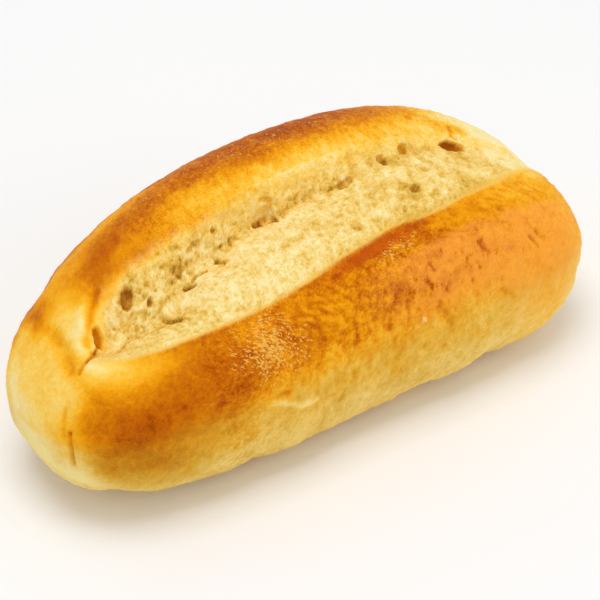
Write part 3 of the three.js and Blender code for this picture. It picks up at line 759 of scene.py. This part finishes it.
def crumbTone():
    strip, rightEnd = crumbTint["alongLip"], crumbTint["rightEnd"]
    slabTone = slide(*crumbTint["slab"], flatU) + slide(*crumbTint["rightSlab"], flatU)
    tone = mix(slabTone, slide(*crumbTint["wall"], flatU), wallSide)
    tone = mix(tone, rightEnd["tone"], ease(*rightEnd["start"], flatU))
    for u, v, radius, darker in crumbTint["places"]:
        tone = tone + darker * bell(distanceTo(u, v), radius)
    return tone + slide(*strip["more"], flatU) * bell(pastLip, strip["reach"])


def crumbMottling():
    mottled = grainLayer(crumbTint["threads"], 2, 14.2, (1, 2, 2))
    for name, octaves, shift, side in (("blotches", 3, 3.9, wallSide), ("specks", 2, 7.9, rightSide),
                                       ("clouds", 2, 11.9, rightSide)):
        layer = crumbTint[name]
        mottled = mottled + grain(layer["size"], octaves, shift) * mix(*layer["heights"], side)
    return mottled * slide(*crumbTint["calmRight"], flatU) * calm


mottling = mottledShare()
# Crumb tone darkened in pits, pores and slits: painted shade
holes, fringe = crumbTint["pits"], crumbTint["fringe"]
paintedHoleShade = mix(*holes["leftAndRight"], rightSide) * pitShade ** holes["power"] + crumbTint["torn"] * paintedTearShade
fields = {
    "bake": np.clip(crustBake(mottling), 0, 1),
    "mottling": mottling,
    "redness": rednessShare(),
    "blush": blushAndSheenShare(),
    "lowShade": paintedFootShade(),
    "sugared": sugarAndGlintsShare(),
    "crumb": crumbShare(),
    "tone": np.clip(crumbTone() + crumbMottling() + paintedHoleShade, 0, 1),
    "pore": np.maximum(paintedPoreShade, paintedSlitShade - crumbTint["slitsPaler"]),
    "fringe": bell(pastLip - fringe["pastLip"], fringe["width"] * lipSoft) * openness * upper,
}
print("browning laid")


def newMesh(name, vertices, faces):
    mesh = bpy.data.meshes.new(name)
    mesh.from_pydata(np.array(vertices).tolist(), [], faces)
    mesh.update()
    return mesh


def meshFromGrid(name, ringPoints, tips, attributes):
    rings, columns = ringPoints.shape[:2]
    vertices = np.concatenate([ringPoints.reshape(-1, 3), tips]) * mm
    ring = np.arange(rings - 1)[:, None] * columns
    column = np.arange(columns)[None, :]
    following = (column + 1) % columns
    quads = np.stack([ring + column, ring + columns + column, ring + columns + following, ring + following], -1)
    last, tip = (rings - 1) * columns, np.full(columns, rings * columns)
    left = np.stack([tip, column[0], following[0]], -1)
    right = np.stack([tip + 1, last + following[0], last + column[0]], -1)
    mesh = newMesh(name, vertices, quads.reshape(-1, 4).tolist() + left.tolist() + right.tolist())
    for attributeName, field in attributes.items():
        layer = mesh.attributes.new(attributeName, "FLOAT", "POINT")
        ends = [float(field[0].mean()), float(field[-1].mean())]
        layer.data.foreach_set("value", np.concatenate([field.ravel(), ends]).astype(np.float32))
    mesh.shade_smooth()
    return mesh


def addObject(name, mesh):
    thing = bpy.data.objects.new(name, mesh)
    bpy.context.scene.collection.objects.link(thing)
    return thing


tips = np.concatenate([smoothSkin([-1.0], [0.0]), smoothSkin([1.0], [0.0])])
bun = addObject("bunSkin", meshFromGrid("bunSkin", points, tips, fields))
print("bun mesh:", len(bun.data.polygons), "faces")


# Colours are given as they look on screen, 0 to 255
def screenColour(red, green, blue):
    linear = [((c / 255 + 0.055) / 1.055) ** 2.4 if c > 10 else c / 255 / 12.92 for c in (red, green, blue)]
    return (*linear, 1.0)


# One value in a material's node tree, so that maths reads as Python
class Wire:
    def __init__(self, tree, socket):
        self.tree = tree
        self.socket = socket

    def math(self, operation, first, second):
        node = self.tree.nodes.new("ShaderNodeMath")
        node.operation = operation
        for slot, value in zip(node.inputs, (first, second)):
            if isinstance(value, Wire):
                self.tree.links.new(value.socket, slot)
            else:
                slot.default_value = value
        return Wire(self.tree, node.outputs[0])

    def __add__(self, other):
        return self.math("ADD", self, other)

    def __sub__(self, other):
        return self.math("SUBTRACT", self, other)

    def __rsub__(self, other):
        return self.math("SUBTRACT", other, self)

    def __mul__(self, other):
        return self.math("MULTIPLY", self, other)

    __radd__ = __add__
    __rmul__ = __mul__


class Finish:
    def __init__(self, name):
        self.material = bpy.data.materials.new(name)
        self.material.use_nodes = True
        self.tree = self.material.node_tree
        self.tree.nodes.clear()

    # Any node: its settings first, then the values or links of its sockets
    def node(self, kind, settings=None, sockets=None, output=0):
        node = self.tree.nodes.new(kind)
        for name, value in (settings or {}).items():
            if name == "stops":
                ramp = node.color_ramp
                while len(ramp.elements) < len(value):
                    ramp.elements.new(0.5)
                for element, (position, colour) in zip(ramp.elements, value):
                    element.position = position
                    element.color = screenColour(*colour)
            else:
                setattr(node, name, value)
        for name, value in (sockets or {}).items():
            if isinstance(value, Wire):
                self.tree.links.new(value.socket, node.inputs[name])
            else:
                node.inputs[name].default_value = value
        return Wire(self.tree, node.outputs[output]) if node.outputs else None

    def attribute(self, name):
        return self.node("ShaderNodeAttribute", {"attribute_name": name}, output="Fac")

    # The stretch is along the axes turned by so many degrees about z
    def noise(self, size, detail=2.0, seed=0.0, stretch=(1.0, 1.0, 1.0), turn=0.0):
        turned = self.node("ShaderNodeMapping", {"vector_type": "TEXTURE"}, {
            "Vector": self.node("ShaderNodeTexCoord", output="Object"), "Location": (seed, seed, seed),
            "Rotation": (0, 0, math.radians(turn)), "Scale": stretch,
        })
        return self.node("ShaderNodeTexNoise", None, {"Vector": turned, "Scale": 1 / (size * mm), "Detail": detail})

    def blend(self, factor, first, second):
        return self.node("ShaderNodeMix", {"data_type": "RGBA"}, {0: factor, 6: first, 7: second}, output=2)

    def ramp(self, stops, value):
        return self.node("ShaderNodeValToRGB", {"stops": stops}, {"Fac": value})

    def range(self, value, low, high):
        return self.node("ShaderNodeMapRange", None, {"Value": value, "From Min": low, "From Max": high})

    def finish(self, sockets):
        shader = self.node("ShaderNodeBsdfPrincipled", None, sockets)
        self.node("ShaderNodeOutputMaterial", None, {"Surface": shader})
        return self.material


# Colours of the browning, pale to dark, and of what lies over it with its share; sizes in millimetres
bunFinish = {
    "crust": (
        (0.0, (250, 234, 172)), (0.2, (253, 211, 102)), (0.4, (249, 185, 42)), (0.6, (237, 153, 10)),
        (0.78, (209, 120, 6)), (0.92, (190, 92, 6)), (1.0, (164, 74, 2)),
    ),
    # The foot colours paint shade on the low band: darker and more olive than the crust
    "foot": (
        (0.0, (250, 228, 150)), (0.3, (236, 200, 108)), (0.4, (224, 184, 86)), (0.5, (216, 168, 58)),
        (0.75, (188, 128, 20)), (1.0, (150, 88, 8)),
    ),
    "crumb": (
        (0.0, (250, 236, 178)), (0.25, (245, 216, 136)), (0.5, (233, 190, 92)), (0.75, (206, 158, 56)),
        (1.0, (160, 108, 24)),
    ),
    # Orange-pink over the right side, partly the crust's colour and partly painted sheen
    "blush": (0.6, (250, 158, 66)),
    "redness": (0.75, (202, 86, 14)),
    # Pale flecks over the sugar, partly its colour and partly painted glints
    "sugared": (0.7, (250, 198, 90)),
    "fringe": (0.7, (247, 200, 90)),
    # Pore colour: painted shade inside pores and slits
    "pore": (1, (176, 100, 22)),
    "poreRange": (0.45, 1.0),
    "fine": {"size": 0.5, "onCrust": 0.55, "onCrumb": 0.65, "bump": 0.6},
    "medium": {"size": 2.4, "onCrust": 0.15, "roughness": 0.15},
    "fibres": {"size": 0.35, "stretch": (1.0, 3.3, 3.3), "onCrumb": 0.4, "bump": 0.8},
    "flecks": {"size": 0.42, "stretch": (2.4, 1.0, 2.4), "range": (0.62, 0.74), "denser": 0.2, "edge": (0.03, 0.2)},
    "crustRoughness": 0.55,
    "crumbRoughness": 0.9,
    "bump": {"Strength": 0.4, "Distance": 0.0003},
    "surface": {
        "Specular IOR Level": 0.06,
        "Specular Tint": (1.0, 0.62, 0.3, 1.0),
        "Subsurface Weight": 0.08,
        "Subsurface Radius": (0.002, 0.001, 0.0004),
        "Subsurface Scale": 1.0,
    },
}


def bunMaterial():
    f = Finish("bunCrustAndCrumb")

    def covered(colour, name, mask):
        share, cover = bunFinish[name]
        return f.blend(mask * share, colour, screenColour(*cover))

    small, middle, long, fleck = (bunFinish[name] for name in ("fine", "medium", "fibres", "flecks"))
    crumb, sugared = f.attribute("crumb"), f.attribute("sugared")
    fine = f.noise(small["size"], 3.0, 0.3)
    medium = f.noise(middle["size"], 3.0, 0.7)
    fibres = f.noise(long["size"], 3.0, 0.9, long["stretch"])
    flecks = f.noise(fleck["size"], 2.0, 0.5, fleck["stretch"], crustRelief["lipTurn"])
    speckled = f.attribute("bake") + (fine - 0.5) * (f.attribute("mottling") * small["onCrust"])
    speckled = speckled + (medium - 0.5) * middle["onCrust"]
    colour = f.ramp(bunFinish["crust"], speckled)
    # Orange-pink, partly painted sheen, and the red lip over the crust
    for name in ("blush", "redness"):
        colour = covered(colour, name, f.attribute(name))
    # Painted shade low on the sides, from the foot colours
    colour = f.blend(f.attribute("lowShade"), colour, f.ramp(bunFinish["foot"], speckled))
    # Pale flecks over the sugar: partly sugar, partly painted glints
    mask = f.range(flecks + sugared * fleck["denser"], *fleck["range"]) * f.range(sugared, *fleck["edge"])
    colour = covered(colour, "sugared", mask)
    toned = f.attribute("tone") + (fine - 0.5) * small["onCrumb"] + (fibres - 0.5) * long["onCrumb"]
    colour = f.blend(crumb, colour, f.ramp(bunFinish["crumb"], toned))
    colour = covered(colour, "fringe", f.attribute("fringe"))
    # Painted shade inside pores and slits
    colour = covered(colour, "pore", f.range(f.attribute("pore"), *bunFinish["poreRange"]))
    rough = bunFinish["crustRoughness"] + crumb * (bunFinish["crumbRoughness"] - bunFinish["crustRoughness"])
    rough = rough + (medium - 0.5) * middle["roughness"]
    grainHeight = fine * small["bump"] + fibres * (crumb * long["bump"])
    bump = f.node("ShaderNodeBump", None, {**bunFinish["bump"], "Height": grainHeight})
    return f.finish({"Base Color": colour, "Roughness": rough, "Normal": bump, **bunFinish["surface"]})


bun.data.materials.append(bunMaterial())
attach(bun, "root")
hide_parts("bun")
print("bun finished")

# Loose sugar grains that stick to the egg wash, with their sizes in millimetres
sugar = {
    "seed": 5,
    "spread": 0.6,
    "uneven": (0.8, 1.2),
    "lift": 0.2,
    "patches": (        # u, v, reach along, reach across, count, smallest and largest
        (-0.315, 1.64, 0.07, 0.24, 70, 0.15, 0.4),
        (-0.29, 1.4, 0.06, 0.2, 24, 0.12, 0.3),
        (-0.05, 4.27, 0.3, 0.06, 30, 0.12, 0.26),
        (0.45, 4.17, 0.15, 0.05, 20, 0.12, 0.26),
        (0.2, 1.85, 0.06, 0.06, 8, 0.15, 0.3),
        (0.212, 1.185, 0.001, 0.001, 1, 1.1, 1.2),
    ),
    "tintSize": 1.5,
    "colour": (232, 166, 76),
    "paleColour": (254, 212, 128),
    "surface": {"Roughness": 0.7, "Specular IOR Level": 0.1, "Specular Tint": (1.0, 0.8, 0.5, 1.0)},
}


def sugarMesh():
    draw = np.random.default_rng(sugar["seed"])
    corners = np.array([(x, y, z) for x in (-0.5, 0.5) for y in (-0.5, 0.5) for z in (-0.5, 0.5)])
    sides = np.array([(0, 1, 3, 2), (4, 6, 7, 5), (0, 4, 5, 1), (2, 3, 7, 6), (0, 2, 6, 4), (1, 5, 7, 3)])
    vertices, faces = [], []
    for u, v, alongU, acrossV, count, smallest, largest in sugar["patches"]:
        for _ in range(count):
            grainU = u + alongU * draw.normal() * sugar["spread"]
            grainV = v + acrossV * draw.normal() * sugar["spread"]
            ring = int(np.abs(ringU[:, 0] - grainU).argmin())
            column = int(np.abs(columnV[0] - grainV).argmin())
            size = draw.uniform(smallest, largest) * draw.uniform(*sugar["uneven"], 3)
            turn, _ = np.linalg.qr(draw.normal(size=(3, 3)))
            middle = points[ring, column] + normals[ring, column] * size.min() * sugar["lift"]
            faces.extend((sides + len(vertices) * 8).tolist())
            vertices.append((corners * size) @ turn.T + middle)
    return newMesh("sugarGrains", np.concatenate(vertices) * mm, faces)


def sugarMaterial():
    f = Finish("sugarCrystal")
    tint = f.noise(sugar["tintSize"])
    colour = f.blend(tint, screenColour(*sugar["colour"]), screenColour(*sugar["paleColour"]))
    return f.finish({"Base Color": colour, **sugar["surface"]})


sugarGrains = addObject("sugarGrains", sugarMesh())
sugarGrains.data.materials.append(sugarMaterial())
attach(sugarGrains, "root")
print("sugar placed")

# The studio in metres and watts: a pale floor, an even sky, a large lamp above and a weak one in front
studio = {
    "floorSize": 6.0,
    "floorColour": (0.95, 0.95, 0.95, 1.0),
    "floorRoughness": 0.9,
    "skyColour": (1, 1, 1, 1),
    "skyStrength": 0.65,
    "aim": (0, 0, 0.03),
    "key": {"place": (-0.12, 0.0, 1.0), "size": 0.5, "power": 3.75},
    "fill": {"place": (0.7, -0.9, 0.4), "size": 0.8, "power": 2.3},
}


def areaLight(name):
    lamp = bpy.data.lights.new(name, "AREA")
    lamp.size = studio[name]["size"]
    lamp.energy = studio[name]["power"]
    light = addObject(name, lamp)
    light.location = studio[name]["place"]
    light.rotation_euler = (Vector(studio["aim"]) - light.location).to_track_quat("-Z", "Y").to_euler()


def buildStudio():
    half = studio["floorSize"] / 2
    corners = [(-half, -half, 0), (half, -half, 0), (half, half, 0), (-half, half, 0)]
    mesh = newMesh("floor", corners, [(0, 1, 2, 3)])
    floor = addObject("floor", mesh)
    f = Finish("paleFloor")
    mesh.materials.append(f.finish({"Base Color": studio["floorColour"], "Roughness": studio["floorRoughness"]}))
    world = bpy.data.worlds.new("studio")
    world.use_nodes = True
    sky = world.node_tree.nodes["Background"].inputs
    sky["Strength"].default_value = studio["skyStrength"]
    sky["Color"].default_value = studio["skyColour"]
    bpy.context.scene.world = world
    areaLight("key")
    areaLight("fill")
    bpy.context.scene.view_settings.view_transform = "Standard"


buildStudio()

# Camera at the photograph's angle, in degrees and metres; the image is taken as 600 by 600 pixels
view = {
    "azimuth": -33.31,
    "elevation": 39.6,
    "distance": 0.4549,
    "focalPixels": 1872.7,
    "imagePixels": 600,
    "sensorWidth": 36,
    "target": (0, loaf["shift"] * mm, 0.025),
    "right": 0.0033,
    "up": -0.00394,
}


def buildCamera():
    azimuth, elevation = math.radians(view["azimuth"]), math.radians(view["elevation"])
    level = math.cos(elevation)
    back = Vector((math.sin(azimuth) * level, -math.cos(azimuth) * level, math.sin(elevation)))
    right = Vector((math.cos(azimuth), math.sin(azimuth), 0))
    lens = bpy.data.cameras.new("camera")
    lens.sensor_width = view["sensorWidth"]
    lens.lens = view["sensorWidth"] * view["focalPixels"] / view["imagePixels"]
    lens.clip_start = 0.01
    camera = addObject("camera", lens)
    camera.location = (Vector(view["target"]) + right * view["right"] + back.cross(right) * view["up"]
                       + back * view["distance"])
    camera.rotation_euler = (-back).to_track_quat("-Z", "Y").to_euler()
    bpy.context.scene.camera = camera


buildCamera()
print("studio and camera ready")
